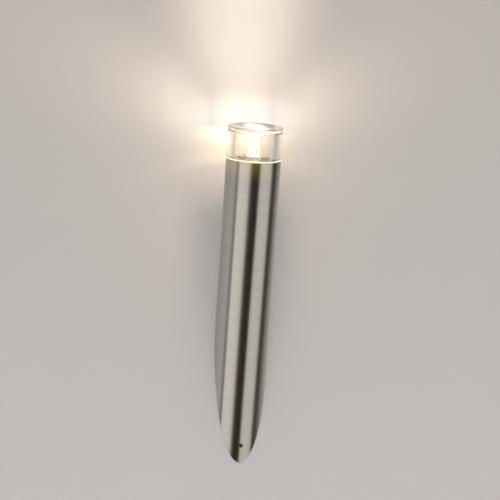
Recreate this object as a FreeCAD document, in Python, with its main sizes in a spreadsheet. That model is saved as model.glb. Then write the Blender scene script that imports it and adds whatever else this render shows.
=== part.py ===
import FreeCAD, Part
import Sketcher
import os

# A wall light of the torch kind, in millimetres. A steel tube is cut off at a slant,
# so that its back lies flat on the wall (the plane y = 0) while the tube leans out.
# A thick clear lens screws into the top over a capsule lamp.
# The origin is where the tube's axis meets the wall, +Z is up and -Y faces the room.

driving = {
    # tube
    "tube_radius": 30.0,
    "tube_wall": 1.2,
    "tube_top": 212.5,
    "lean_angle": 13.5,
    "mitre_reach": 140.0,
    "rim_break": 0.3,
    # lock screw near the lower tip, measured along the front of the tube
    "lock_rise": 19.8,
    "lock_hole_radius": 2.25,
    "lock_thread_radius": 2.1,
    "lock_tap_depth": 8.0,
    "lock_screw_radius": 2.0,
    "lock_screw_length": 3.8,
    "lock_screw_sink": 0.45,
    "lock_socket_radius": 1.15,
    "lock_socket_depth": 1.9,
    "lock_point_break": 0.6,
    # lens, its threaded ring and the seals; heights count from the tube's top edge
    "gasket_thick": 1.2,
    "gasket_bore": 25.4,
    "seat_gap": 0.05,
    "lens_top": 35.0,
    "lens_bore": 17.5,
    "lens_roof": 5.0,
    "lens_chamfer": 0.8,
    "spigot_radius": 21.4,
    "spigot_depth": 8.0,
    "ring_bore": 21.6,
    "ring_radius": 24.7,
    "ring_depth": 9.2,
    "ring_top": 0.9,
    "ring_step": 2.7,
    "ring_rebate_radius": 23.0,
    "seal_inner": 23.1,
    "seal_outer": 24.9,
    "seal_height": 2.2,
    "seal_play": 0.1,
    # turned collar pressed into the tube's top
    "collar_radius": 28.7,
    "collar_bore": 25.0,
    "collar_floor": 10.0,
    "collar_web": 2.5,
    # spun reflector dish on the collar's floor
    "dish_radius": 24.4,
    "dish_skin": 0.5,
    "dish_throat": 9.0,
    "dish_rise": 6.0,
    # ceramic lampholder, held under the collar's floor
    "holder_radius": 8.5,
    "holder_hole": 8.8,
    "holder_top": 3.5,
    "holder_depth": 27.0,
    "holder_ear_length": 31.0,
    "holder_ear_width": 11.0,
    "holder_ear_thick": 2.5,
    "holder_ear_round": 3.0,
    "holder_screw_reach": 12.0,
    "holder_screw_tap": 1.25,
    "holder_screw_hole": 1.7,
    "holder_screw_radius": 1.2,
    "holder_screw_length": 4.6,
    "holder_screw_head": 2.7,
    "holder_screw_head_height": 1.9,
    "holder_socket_length": 14.6,
    "holder_socket_width": 6.4,
    "holder_socket_depth": 12.5,
    "contact_pocket_length": 3.4,
    "contact_pocket_width": 4.4,
    "contact_pocket_depth": 21.0,
    "contact_strip": 0.4,
    "contact_width": 2.8,
    "contact_gap": 1.5,
    "contact_play": 0.1,
    "lead_hole_radius": 1.4,
    "lead_hole_depth": 9.7,
    # capsule lamp
    "pin_reach": 4.5,
    "pin_half_width": 1.1,
    "pin_half_thick": 0.45,
    "pin_gap_half_width": 0.3,
    "pin_length": 7.5,
    "capsule_radius": 7.0,
    "capsule_wall": 0.9,
    "capsule_tip": 28.0,
    "capsule_neck": 4.5,
    "capsule_dome": 2.4,
    "capsule_tip_radius": 4.4,
    "capsule_tip_thick": 2.2,
    "pinch_length": 12.8,
    "pinch_width": 3.8,
    "pinch_bottom": 8.6,
    "filament_radius": 0.6,
    "filament_low": 13.0,
    "filament_high": 20.0,
    "filament_dip": 15.0,
    "filament_reach": 2.6,
    "support_half_width": 0.3,
    "support_play": 0.1,
    # wall bracket, a bent strip behind the tube; heights count from the origin
    "bracket_thick": 2.0,
    "bracket_half_width": 15.0,
    "bracket_foot_half_width": 6.0,
    "bracket_foot": 113.0,
    "bracket_foot_shoulder": 97.0,
    "bracket_low_shoulder": 76.0,
    "bracket_high_shoulder": 84.0,
    "bracket_neck": 104.0,
    "tongue_half_width": 8.0,
    "tongue_clearance": 1.5,
    "tongue_length": 15.0,
    "bend_overlap": 4.0,
    "foot_round": 5.7,
    "flange_thick": 1.5,
    "flange_height": 7.0,
    "flange_low": 66.0,
    "flange_high": 76.0,
    "wall_screw_spacing": 120.0,
    "wall_screw_radius": 2.6,
    # cable grommet
    "cable_height": 26.0,
    "grommet_hole_radius": 7.0,
    "grommet_neck_radius": 6.9,
    "grommet_flange_radius": 9.5,
    "grommet_bore": 4.0,
    "grommet_flange_thick": 2.0,
    "grommet_nose": 9.0,
    "grommet_nose_radius": 5.0,
    "grommet_back": 0.3,
    # terminal block
    "block_width": 26.0,
    "block_height": 17.0,
    "block_depth": 13.5,
    "block_step": 3.0,
    "tower_half_width": 3.4,
    "tower_inset": 1.0,
    "block_centre": 6.0,
    "pole_pitch": 8.0,
    "pole_out": 9.0,
    "pole_half_bore": 2.35,
    "sleeve_half_width": 2.25,
    "sleeve_half_bore": 1.5,
    "sleeve_length": 15.0,
    "clamp_screw_radius": 1.4,
    "clamp_screw_play": 0.05,
    "clamp_screw_length": 3.2,
    "clamp_screw_reach": 4.2,
    "clamp_well_half_width": 2.0,
    "block_screw_tap": 1.25,
    "block_screw_radius": 1.2,
    "block_screw_hole": 1.4,
    "block_screw_start": 0.2,
    # earth stud
    "earth_height": 40.0,
    "stud_radius": 2.0,
    "stud_length": 12.0,
    "stud_flare": 2.9,
    "stud_flare_height": 0.8,
    "lug_radius": 4.0,
    "lug_thick": 0.8,
    "lug_neck_half_width": 1.4,
    "lug_barrel_start": 5.5,
    "lug_barrel_radius": 1.8,
    "lug_barrel_length": 5.0,
    "nut_flats": 3.5,
    "nut_height": 3.2,
    "washer_thick": 0.8,
    "thread_play": 0.1,
    # wires
    "wire_radius": 1.1,
    "wire_play": 0.15,
    "wire_grip": 4.0,
    "wire_bend": 8.0,
    "sleeving_bore": 2.7,
    "sleeving_wall": 0.4,
    "sleeving_length": 42.0,
    "sleeving_drop": 38.0,
}

doc = FreeCAD.newDocument("wall_light")
sheet = doc.addObject("Spreadsheet::Sheet", "Dims")
for row, (alias, number) in enumerate(driving.items(), start=1):
    sheet.set("A%d" % row, alias)
    sheet.set("B%d" % row, str(number))
    sheet.setAlias("B%d" % row, alias)
doc.recompute()

leanSine = "sin(Dims.lean_angle * 1 deg)"
leanCosine = "cos(Dims.lean_angle * 1 deg)"
leanTangent = "tan(Dims.lean_angle * 1 deg)"
poles = ("-Dims.pole_pitch", "0", "Dims.pole_pitch")
smallSides = 12  # screws, their holes and the wires are drawn with this many sides
touch = 0.01  # mm, how near counts as the same place when edges are picked
subParts = []


def measure(expression):
    """The number that an expression on the sheet gives."""
    result = sheet.evalExpression(expression)
    return float(getattr(result, "Value", result))


def originPlane(body, role):
    return [feature for feature in body.Origin.OriginFeatures if feature.Role == role][0]


def newBody(label):
    body = doc.addObject("PartDesign::Body", label)
    body.Label = label
    subParts.append(body)
    return body


def place(item, turn="0", across="0", out="0", height="0"):
    """Turn an item about X and set where its own origin lies in the light's frame."""
    item.Placement = FreeCAD.Placement(
        FreeCAD.Vector(measure(across), -measure(out), measure(height)),
        FreeCAD.Rotation(FreeCAD.Vector(1, 0, 0), measure(turn)),
    )
    item.setExpression("Placement.Rotation.Angle", "(%s) * 1 deg" % turn)
    item.setExpression("Placement.Base.x", across)
    item.setExpression("Placement.Base.y", "-(%s)" % out)
    item.setExpression("Placement.Base.z", height)


def placeAlongTube(item):
    """Own z runs up the tube's axis, from the wall."""
    place(item, turn="Dims.lean_angle")


def placeInHead(item):
    """Own z runs up the tube's axis, from the tube's top edge."""
    out = "Dims.tube_top * " + leanSine
    height = "Dims.tube_top * " + leanCosine
    place(item, turn="Dims.lean_angle", out=out, height=height)


def placeOnWall(item, across="0", out="0", height="0"):
    """Own z runs straight out of the wall, and own y runs up."""
    place(item, turn="90", across=across, out=out, height=height)


def newSketch(body, name, role, lift=None):
    sketch = body.newObject("Sketcher::SketchObject", name)
    sketch.AttachmentSupport = [(originPlane(body, role), "")]
    sketch.MapMode = "FlatFace"
    if lift:
        sketch.setExpression("AttachmentOffset.Base.z", lift)
    return sketch


def drawOutline(sketch, corners):
    """A closed outline, each corner held by two expressions on the sheet."""
    points = []
    for across, up in corners:
        points.append(FreeCAD.Vector(measure(across), measure(up), 0))
    first = sketch.GeometryCount
    count = len(points)
    for index in range(count):
        following = (index + 1) % count
        sketch.addGeometry(Part.LineSegment(points[index], points[following]), False)
    for index in range(count):
        following = (index + 1) % count
        sketch.addConstraint(
            Sketcher.Constraint("Coincident", first + index, 2, first + following, 1)
        )
    for index, (across, up) in enumerate(corners):
        for kind, expression in (("DistanceX", across), ("DistanceY", up)):
            size = measure(expression)
            held = Sketcher.Constraint(kind, -1, 1, first + index, 1, size)
            number = sketch.addConstraint(held)
            sketch.setExpression("Constraints[%d]" % number, expression)


def drawCircle(sketch, radius, across="0", up="0"):
    centre = FreeCAD.Vector(measure(across), measure(up), 0)
    circle = Part.Circle(centre, FreeCAD.Vector(0, 0, 1), measure(radius))
    shape = sketch.addGeometry(circle, False)
    held = (
        (Sketcher.Constraint("DistanceX", -1, 1, shape, 3, centre.x), across),
        (Sketcher.Constraint("DistanceY", -1, 1, shape, 3, centre.y), up),
        (Sketcher.Constraint("Radius", shape, measure(radius)), radius),
    )
    for constraint, expression in held:
        number = sketch.addConstraint(constraint)
        sketch.setExpression("Constraints[%d]" % number, expression)


def drawBox(sketch, halfWidth, low, high, middle="0"):
    left = "%s - (%s)" % (middle, halfWidth)
    right = "%s + (%s)" % (middle, halfWidth)
    drawOutline(sketch, [(left, low), (right, low), (right, high), (left, high)])


def drawPolygon(sketch, radius, sides, across="0", up="0"):
    """Equal sides round a centre, with the first corner on the sketch's X axis."""
    corners = []
    for step in range(sides):
        turn = "%g deg" % (360 / sides * step)
        corners.append((
            "%s + %s * cos(%s)" % (across, radius, turn),
            "%s + %s * sin(%s)" % (up, radius, turn),
        ))
    drawOutline(sketch, corners)


def drawSmallRound(sketch, radius, across="0", up="0"):
    drawPolygon(sketch, radius, smallSides, across, up)


def revolve(body, name, corners):
    """A round solid: corners are (radius, height) about the body's own z."""
    sketch = newSketch(body, name + "_profile", "XZ_Plane")
    drawOutline(sketch, corners)
    turned = body.newObject("PartDesign::Revolution", name)
    turned.Profile = sketch
    turned.ReferenceAxis = (sketch, ["V_Axis"])
    turned.Angle = 360
    doc.recompute()
    return turned


def groove(body, name, corners):
    """A round cut: corners are (radius, height) about the body's own z."""
    sketch = newSketch(body, name + "_profile", "XZ_Plane")
    drawOutline(sketch, corners)
    before = body.Shape.Volume
    cut = body.newObject("PartDesign::Groove", name)
    cut.Profile = sketch
    cut.ReferenceAxis = (sketch, ["V_Axis"])
    cut.Angle = 360
    doc.recompute()
    mustShrink(body, before, name)
    return cut


def pad(body, name, sketch, length, middle=False, reverse=False):
    solid = body.newObject("PartDesign::Pad", name)
    solid.Profile = sketch
    solid.setExpression("Length", length)
    if middle:
        solid.SideType = "Symmetric"
    solid.Reversed = reverse
    doc.recompute()
    return solid


def pocket(body, name, sketch, length=None, middle=False, reverse=False):
    before = body.Shape.Volume
    cut = body.newObject("PartDesign::Pocket", name)
    cut.Profile = sketch
    if length:
        cut.setExpression("Length", length)
    else:
        cut.Type = "ThroughAll"
    if middle:
        cut.SideType = "Symmetric"
    cut.Reversed = reverse
    doc.recompute()
    mustShrink(body, before, name)
    return cut


def mustShrink(body, before, name):
    if body.Shape.Volume > before - touch:
        raise RuntimeError(name + " cuts nothing")


def mirrorAcross(body, features, role):
    """The same features again on the other side of one of the body's own planes."""
    copy = body.newObject("PartDesign::Mirrored", features[0].Name + "_mirrored")
    copy.Originals = features
    copy.MirrorPlane = (originPlane(body, role), [""])
    body.Tip = copy
    doc.recompute()
    return copy


def edgesAt(body, test):
    """Names of the edges whose middle, in the body's own frame, passes a test."""
    names = []
    shape = body.Tip.Shape
    for number, edge in enumerate(shape.Edges, start=1):
        middle = edge.valueAt((edge.FirstParameter + edge.LastParameter) / 2)
        if test(middle, edge):
            names.append("Edge%d" % number)
    return names


def roundEdges(body, name, test, radius):
    base = body.Tip
    names = edgesAt(body, test)
    rounding = body.newObject("PartDesign::Fillet", name)
    rounding.Base = (base, names)
    rounding.setExpression("Radius", radius)
    doc.recompute()
    return rounding


def breakEdges(body, name, test, size):
    base = body.Tip
    names = edgesAt(body, test)
    chamfer = body.newObject("PartDesign::Chamfer", name)
    chamfer.Base = (base, names)
    chamfer.setExpression("Size", size)
    doc.recompute()
    return chamfer


def makeTubeHousing():
    """Steel tube, mitred at the lean angle, with the lock screw's hole in front."""
    body = newBody("tube_housing")
    ring = newSketch(body, "tube_ring", "XY_Plane")
    drawCircle(ring, "Dims.tube_radius")
    drawCircle(ring, "Dims.tube_radius - Dims.tube_wall")
    barrel = body.newObject("PartDesign::Pad", "barrel")
    barrel.Profile = ring
    barrel.SideType = "Two sides"
    barrel.setExpression("Length", "Dims.tube_top")
    barrel.setExpression("Length2", "Dims.tube_radius / " + leanTangent)
    doc.recompute()

    # Everything behind the wall plane goes. The wall runs up at the lean angle here.
    behind = newSketch(body, "behind_wall", "YZ_Plane")
    wallY = "Dims.mitre_reach * " + leanSine
    wallZ = "Dims.mitre_reach * " + leanCosine
    drawOutline(behind, [
        ("-%s" % wallY, "-%s" % wallZ),
        (wallY, wallZ),
        ("%s + %s" % (wallY, wallZ), "%s - %s" % (wallZ, wallY)),
        ("%s - %s" % (wallZ, wallY), "-%s - %s" % (wallZ, wallY)),
    ])
    pocket(body, "wall_mitre", behind, middle=True)

    spot = newSketch(body, "lock_hole_spot", "XZ_Plane")
    height = "Dims.lock_rise - Dims.tube_radius / " + leanTangent
    drawCircle(spot, "Dims.lock_hole_radius", up=height)
    pocket(body, "lock_hole", spot, reverse=True)

    top = measure("Dims.tube_top")
    radius = measure("Dims.tube_radius")

    def outerRim(middle, edge):
        return abs(middle.z - top) < touch and edge.Curve.Radius > radius - touch

    breakEdges(body, "top_rim", outerRim, "Dims.rim_break")
    placeAlongTube(body)


def makeTopCollar():
    """Turned collar in the tube's top: a threaded bore above a floor for the lampholder."""
    body = newBody("top_collar")
    floorTop = "-Dims.collar_floor"
    floorUnder = "-Dims.collar_floor - Dims.collar_web"
    revolve(body, "collar_turning", [
        ("Dims.collar_bore", "0"),
        ("Dims.collar_radius", "0"),
        ("Dims.collar_radius", floorUnder),
        ("Dims.holder_hole", floorUnder),
        ("Dims.holder_hole", floorTop),
        ("Dims.collar_bore", floorTop),
    ])
    taps = newSketch(body, "holder_screw_taps", "XY_Plane", lift=floorTop)
    for side in ("", "-"):
        drawSmallRound(taps, "Dims.holder_screw_tap", across=side + "Dims.holder_screw_reach")
    pocket(body, "holder_screw_holes", taps, "Dims.collar_web")
    placeInHead(body)


def makeLensGasket():
    body = newBody("lens_gasket")
    revolve(body, "gasket_ring", [
        ("Dims.gasket_bore", "0"),
        ("Dims.tube_radius", "0"),
        ("Dims.tube_radius", "Dims.gasket_thick"),
        ("Dims.gasket_bore", "Dims.gasket_thick"),
    ])
    placeInHead(body)


def makeReflector():
    """Bright disc on the collar's floor, drawn up into a neck round the lampholder."""
    body = newBody("reflector")
    under = "-Dims.collar_floor"
    top = "Dims.dish_skin - Dims.collar_floor"
    neckTop = "Dims.dish_rise - Dims.collar_floor"
    revolve(body, "dish_spinning", [
        ("Dims.dish_throat", under),
        ("Dims.dish_throat", neckTop),
        ("Dims.dish_throat + Dims.dish_skin", neckTop),
        ("Dims.dish_throat + Dims.dish_skin", top),
        ("Dims.dish_radius", top),
        ("Dims.dish_radius", under),
    ])
    placeInHead(body)


def makeLens():
    """Thick glass cup, open downwards, with a plain spigot under its shoulder."""
    body = newBody("lens")
    shoulder = "Dims.gasket_thick + Dims.seat_gap"
    ceiling = "Dims.lens_top - Dims.lens_roof"
    revolve(body, "lens_turning", [
        ("0", ceiling),
        ("0", "Dims.lens_top"),
        ("Dims.tube_radius - Dims.lens_chamfer", "Dims.lens_top"),
        ("Dims.tube_radius", "Dims.lens_top - Dims.lens_chamfer"),
        ("Dims.tube_radius", shoulder),
        ("Dims.spigot_radius", shoulder),
        ("Dims.spigot_radius", "-Dims.spigot_depth"),
        ("Dims.lens_bore", "-Dims.spigot_depth"),
        ("Dims.lens_bore", ceiling),
    ])
    placeInHead(body)


def makeLensRing():
    """Threaded ring bonded round the glass spigot, with a rebate for the seal."""
    body = newBody("lens_ring")
    revolve(body, "ring_turning", [
        ("Dims.ring_bore", "-Dims.ring_depth"),
        ("Dims.ring_radius", "-Dims.ring_depth"),
        ("Dims.ring_radius", "-Dims.ring_step"),
        ("Dims.ring_rebate_radius", "-Dims.ring_step"),
        ("Dims.ring_rebate_radius", "Dims.ring_top"),
        ("Dims.ring_bore", "Dims.ring_top"),
    ])
    placeInHead(body)


def makeLensOring():
    """Seal on the ring's step, squeezed flat between the ring and the collar."""
    body = newBody("lens_oring")
    low = "Dims.seal_play - Dims.ring_step"
    high = "Dims.seal_play - Dims.ring_step + Dims.seal_height"
    revolve(body, "seal_ring", [
        ("Dims.seal_inner", low),
        ("Dims.seal_outer", low),
        ("Dims.seal_outer", high),
        ("Dims.seal_inner", high),
    ])
    placeInHead(body)


def makeLampholder():
    """Ceramic holder: round body, two ears under the collar's floor, a slot for the
    lamp's pinch, two contact pockets and two holes for the leads."""
    body = newBody("lampholder")
    bottom = "-Dims.holder_depth"
    revolve(body, "holder_body", [
        ("0", bottom),
        ("Dims.holder_radius", bottom),
        ("Dims.holder_radius", "Dims.holder_top"),
        ("0", "Dims.holder_top"),
    ])
    earTop = "-Dims.collar_floor - Dims.collar_web"
    ears = newSketch(body, "ear_outline", "XY_Plane", lift=earTop)
    halfWidth = "Dims.holder_ear_width / 2"
    drawBox(ears, "Dims.holder_ear_length / 2", "-" + halfWidth, halfWidth)
    pad(body, "ears", ears, "Dims.holder_ear_thick", reverse=True)
    reach = measure("Dims.holder_ear_length / 2")
    thick = measure("Dims.holder_ear_thick")

    def corner(middle, edge):
        return abs(abs(middle.x) - reach) < touch and edge.Length < thick + touch

    roundEdges(body, "ear_corners", corner, "Dims.holder_ear_round")

    holes = newSketch(body, "ear_holes", "XY_Plane", lift=earTop)
    for side in ("", "-"):
        drawSmallRound(holes, "Dims.holder_screw_hole", across=side + "Dims.holder_screw_reach")
    pocket(body, "ear_drilling", holes, "Dims.holder_ear_thick")

    socket = newSketch(body, "socket_outline", "XY_Plane", lift="Dims.holder_top")
    halfWidth = "Dims.holder_socket_width / 2"
    drawBox(socket, "Dims.holder_socket_length / 2", "-" + halfWidth, halfWidth)
    pocket(body, "lamp_socket", socket, "Dims.holder_socket_depth")

    wells = newSketch(body, "contact_outline", "XY_Plane", lift="Dims.holder_top")
    halfWidth = "Dims.contact_pocket_width / 2"
    for side in ("", "-"):
        middle = side + "Dims.pin_reach"
        drawBox(wells, "Dims.contact_pocket_length / 2", "-" + halfWidth, halfWidth, middle)
    pocket(body, "contact_pockets", wells, "Dims.contact_pocket_depth")

    leads = newSketch(body, "lead_outline", "XY_Plane", lift=bottom)
    for side in ("", "-"):
        drawSmallRound(leads, "Dims.lead_hole_radius", across=side + "Dims.pin_reach")
    pocket(body, "lead_holes", leads, "Dims.lead_hole_depth", reverse=True)
    placeInHead(body)


def makeLampholderContacts():
    """A springy U of strip stands in each pocket and grips a pin of the lamp."""
    body = newBody("lampholder_contacts")
    floor = "Dims.holder_top - Dims.contact_pocket_depth + Dims.contact_play"
    top = "Dims.holder_top - Dims.holder_socket_depth - Dims.contact_play"
    half = "(Dims.contact_gap / 2)"
    strip = newSketch(body, "strip_profile", "YZ_Plane", lift="Dims.pin_reach")
    drawOutline(strip, [
        ("-%s - Dims.contact_strip" % half, floor),
        ("%s + Dims.contact_strip" % half, floor),
        ("%s + Dims.contact_strip" % half, top),
        (half, top),
        (half, "%s + Dims.contact_strip" % floor),
        ("-" + half, "%s + Dims.contact_strip" % floor),
        ("-" + half, top),
        ("-%s - Dims.contact_strip" % half, top),
    ])
    contact = pad(body, "contact_strip", strip, "Dims.contact_width", middle=True)
    mirrorAcross(body, [contact], "YZ_Plane")
    placeInHead(body)


def makeLampholderScrews():
    """Two pan head screws come up through the ears into the collar's floor."""
    body = newBody("lampholder_screws")
    headTop = "(-Dims.collar_floor - Dims.collar_web - Dims.holder_ear_thick)"
    side = newSketch(body, "screw_head_outline", "XY_Plane", lift=headTop)
    drawSmallRound(side, "Dims.holder_screw_head", across="Dims.holder_screw_reach")
    head = pad(body, "screw_head", side, "Dims.holder_screw_head_height", reverse=True)
    stem = newSketch(body, "screw_stem_outline", "XY_Plane", lift=headTop)
    drawSmallRound(stem, "Dims.holder_screw_radius", across="Dims.holder_screw_reach")
    shank = pad(body, "screw_stem", stem, "Dims.holder_screw_length")
    mirrorAcross(body, [head, shank], "YZ_Plane")
    placeInHead(body)


def makeCapsuleGlass():
    """Glass capsule with a domed tip; below, it is squeezed into a flat pinch."""
    body = newBody("bulb_glass")
    neck = "Dims.capsule_neck"
    wall = "Dims.capsule_wall"
    domeFoot = "Dims.capsule_tip - Dims.capsule_dome"
    revolve(body, "capsule_outside", [
        ("0", neck),
        ("Dims.capsule_radius", neck),
        ("Dims.capsule_radius", domeFoot),
        ("Dims.capsule_tip_radius", "Dims.capsule_tip"),
        ("0", "Dims.capsule_tip"),
    ])
    groove(body, "capsule_inside", [
        ("0", "%s + %s" % (neck, wall)),
        ("Dims.capsule_radius - " + wall, "%s + %s" % (neck, wall)),
        ("Dims.capsule_radius - " + wall, "Dims.capsule_tip - Dims.capsule_tip_thick"),
        ("0", "Dims.capsule_tip - Dims.capsule_tip_thick"),
    ])
    pinch = newSketch(body, "pinch_outline", "XY_Plane", lift=neck)
    halfWidth = "Dims.pinch_width / 2"
    drawBox(pinch, "Dims.pinch_length / 2", "-" + halfWidth, halfWidth)
    pad(body, "pinch", pinch, neck + " + Dims.pinch_bottom", reverse=True)
    placeInHead(body)


def wireAlong(points, radius):
    """A wire along straight runs, with its turns mitred."""
    path = Part.makePolygon([FreeCAD.Vector(*point) for point in points])
    start, following = [vertex.Point for vertex in path.OrderedVertexes[:2]]
    run = following - start
    spoke = run.cross(FreeCAD.Vector(0, 1, 0)).normalize() * measure(radius)
    corners = []
    for step in range(smallSides + 1):
        turn = FreeCAD.Rotation(run, 360 / smallSides * step)
        corners.append(start + turn.multVec(spoke))
    mitred = 1
    return path.makePipeShell([Part.makePolygon(corners)], True, False, mitred)


def addSolid(label, shape):
    item = doc.addObject("Part::Feature", label)
    item.Label = label
    item.Shape = shape
    subParts.append(item)
    return item


def makeFilament():
    """Tungsten filament, drawn as its outer sleeve, bent into an M."""
    low = measure("Dims.filament_low")
    high = measure("Dims.filament_high")
    dip = measure("Dims.filament_dip")
    reach = measure("Dims.filament_reach")
    points = [(-reach, 0, low), (-reach / 2, 0, high), (0, 0, dip)]
    points += [(reach / 2, 0, high), (reach, 0, low)]
    placeInHead(addSolid("bulb_filament", wireAlong(points, "Dims.filament_radius")))


def makeFilamentSupports():
    """Two lead-in wires from the pinch up to the filament's ends."""
    body = newBody("bulb_supports")
    floor = "Dims.capsule_neck + Dims.capsule_wall"
    foot = newSketch(body, "support_outline", "XY_Plane", lift=floor)
    half = "Dims.support_half_width"
    drawBox(foot, half, "-" + half, half, "Dims.filament_reach")
    height = "Dims.filament_low - Dims.support_play - (%s)" % floor
    wire = pad(body, "support_wire", foot, height)
    mirrorAcross(body, [wire], "YZ_Plane")
    placeInHead(body)


def makeBulbPins():
    """Each pin is a flattened loop of stout wire under the pinch."""
    body = newBody("bulb_pins")
    loop = newSketch(body, "pin_profile", "XZ_Plane")
    top = "-Dims.pinch_bottom"
    low = "-Dims.pinch_bottom - Dims.pin_length"
    outside = "Dims.pin_reach + Dims.pin_half_width"
    inside = "Dims.pin_reach - Dims.pin_half_width"
    gapOutside = "Dims.pin_reach + Dims.pin_gap_half_width"
    gapInside = "Dims.pin_reach - Dims.pin_gap_half_width"
    turn = "%s + Dims.pin_half_thick * 2" % low
    drawOutline(loop, [
        (inside, top),
        (inside, low),
        (outside, low),
        (outside, top),
        (gapOutside, top),
        (gapOutside, turn),
        (gapInside, turn),
        (gapInside, top),
    ])
    pin = pad(body, "pin_loop", loop, "Dims.pin_half_thick * 2", middle=True)
    mirrorAcross(body, [pin], "YZ_Plane")
    placeInHead(body)


def makeWallBracket():
    """Bent strip: a foot tapped for the lock screw, side flanges, and a tongue that
    follows the inside of the tube's back wall and hooks it."""
    body = newBody("wall_bracket")
    outline = newSketch(body, "strip_outline", "XY_Plane")
    tongueBack = "(Dims.tube_radius - Dims.tube_wall - Dims.tongue_clearance)"
    bendHeight = "(%s / %s)" % (tongueBack, leanSine)
    edge = [
        ("Dims.bracket_foot_half_width", "-Dims.bracket_foot"),
        ("Dims.bracket_foot_half_width", "-Dims.bracket_foot_shoulder"),
        ("Dims.bracket_half_width", "-Dims.bracket_low_shoulder"),
        ("Dims.bracket_half_width", "Dims.bracket_high_shoulder"),
        ("Dims.tongue_half_width", "Dims.bracket_neck"),
        ("Dims.tongue_half_width", bendHeight + " - Dims.bend_overlap / 2"),
    ]
    otherEdge = [("-" + across, up) for across, up in reversed(edge)]
    drawOutline(outline, edge + otherEdge)
    pad(body, "strip", outline, "Dims.bracket_thick")

    foot = measure("Dims.bracket_foot")
    stripThick = measure("Dims.bracket_thick")

    def footCorner(middle, edge):
        return middle.y < touch - foot and edge.Length < stripThick + touch

    roundEdges(body, "foot_rounding", footCorner, "Dims.foot_round")

    tongue = newSketch(body, "tongue_profile", "YZ_Plane")
    length = "Dims.tongue_length"
    thick = "Dims.bracket_thick"
    drawOutline(tongue, [
        (bendHeight + " - Dims.bend_overlap", "0"),
        (bendHeight, "0"),
        ("%s + %s * %s" % (bendHeight, length, leanCosine), "%s * %s" % (length, leanSine)),
        ("%s + %s * %s - %s * %s" % (bendHeight, length, leanCosine, thick, leanSine),
         "%s * %s + %s * %s" % (length, leanSine, thick, leanCosine)),
        ("(%s - %s + %s * %s) / %s" % (tongueBack, thick, thick, leanCosine, leanSine), thick),
        (bendHeight + " - Dims.bend_overlap", thick),
    ])
    pad(body, "tongue", tongue, "Dims.tongue_half_width * 2", middle=True)

    flange = newSketch(body, "flange_outline", "XY_Plane")
    drawOutline(flange, [
        ("Dims.bracket_half_width - Dims.flange_thick", "-Dims.flange_low"),
        ("Dims.bracket_half_width", "-Dims.flange_low"),
        ("Dims.bracket_half_width", "Dims.flange_high"),
        ("Dims.bracket_half_width - Dims.flange_thick", "Dims.flange_high"),
    ])
    side = pad(body, "flange", flange, "Dims.flange_height")
    mirrorAcross(body, [side], "YZ_Plane")

    holes = newSketch(body, "bracket_holes", "XY_Plane")
    drawCircle(holes, "Dims.wall_screw_radius", up="Dims.wall_screw_spacing / 2")
    drawCircle(holes, "Dims.wall_screw_radius", up="-Dims.wall_screw_spacing / 2")
    drawCircle(holes, "Dims.grommet_hole_radius", up="Dims.cable_height")
    for side in ("", "-"):
        across = side + "Dims.pole_pitch / 2"
        drawSmallRound(holes, "Dims.block_screw_tap", across=across, up="-Dims.block_centre")
    pocket(body, "bracket_drilling", holes, "Dims.bracket_thick", reverse=True)

    tapHeight = "Dims.lock_rise - Dims.tube_radius / " + leanTangent
    tap = body.newObject("PartDesign::SubtractiveCylinder", "lock_thread")
    before = body.Shape.Volume
    tap.setExpression("Radius", "Dims.lock_thread_radius")
    tap.setExpression("Height", "Dims.lock_tap_depth")
    depth = measure("Dims.tube_radius")
    rise = measure(tapHeight)
    lean = FreeCAD.Rotation(FreeCAD.Vector(1, 0, 0), measure("Dims.lean_angle"))
    start = lean.multVec(FreeCAD.Vector(0, -depth, rise))
    # The tap leans with the tube: its axis is square to the tube's front.
    tap.AttachmentOffset = FreeCAD.Placement(
        FreeCAD.Vector(0, start.z, -start.y),
        FreeCAD.Rotation(FreeCAD.Vector(1, 0, 0), 180 + measure("Dims.lean_angle")),
    )
    tap.AttachmentSupport = [(originPlane(body, "XY_Plane"), "")]
    tap.MapMode = "ObjectXY"
    doc.recompute()
    mustShrink(body, before, "lock_thread")
    placeOnWall(body)


def makeLockScrew():
    """Socket set screw. Its outer end stands in the tube's hole and stops the tube."""
    body = newBody("lock_screw")
    outer = "-Dims.lock_screw_sink"
    inner = "-Dims.lock_screw_sink - Dims.lock_screw_length"
    point = "Dims.lock_point_break"
    revolve(body, "screw_turning", [
        ("0", inner),
        ("Dims.lock_screw_radius - " + point, inner),
        ("Dims.lock_screw_radius", "%s + %s" % (inner, point)),
        ("Dims.lock_screw_radius", outer),
        ("0", outer),
    ])
    key = newSketch(body, "key_outline", "XY_Plane", lift=outer)
    drawPolygon(key, "Dims.lock_socket_radius", 6)
    pocket(body, "key_socket", key, "Dims.lock_socket_depth")
    rise = "(Dims.lock_rise - Dims.tube_radius / %s)" % leanTangent
    place(
        body,
        turn="90 + Dims.lean_angle",
        out="Dims.tube_radius * %s + %s * %s" % (leanCosine, rise, leanSine),
        height="%s * %s - Dims.tube_radius * %s" % (rise, leanCosine, leanSine),
    )


def makeCableGrommet():
    """Rubber bush in the bracket, with a narrow nose that grips the cable."""
    body = newBody("cable_grommet")
    front = "Dims.bracket_thick"
    revolve(body, "grommet_ring", [
        ("Dims.grommet_bore", "Dims.grommet_back"),
        ("Dims.grommet_neck_radius", "Dims.grommet_back"),
        ("Dims.grommet_neck_radius", front),
        ("Dims.grommet_flange_radius", front),
        ("Dims.grommet_flange_radius", front + " + Dims.grommet_flange_thick"),
        ("Dims.grommet_nose_radius", front + " + Dims.grommet_flange_thick"),
        ("Dims.grommet_nose_radius", "Dims.grommet_nose"),
        ("Dims.grommet_bore", "Dims.grommet_nose"),
    ])
    placeOnWall(body, height="Dims.cable_height")


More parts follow.
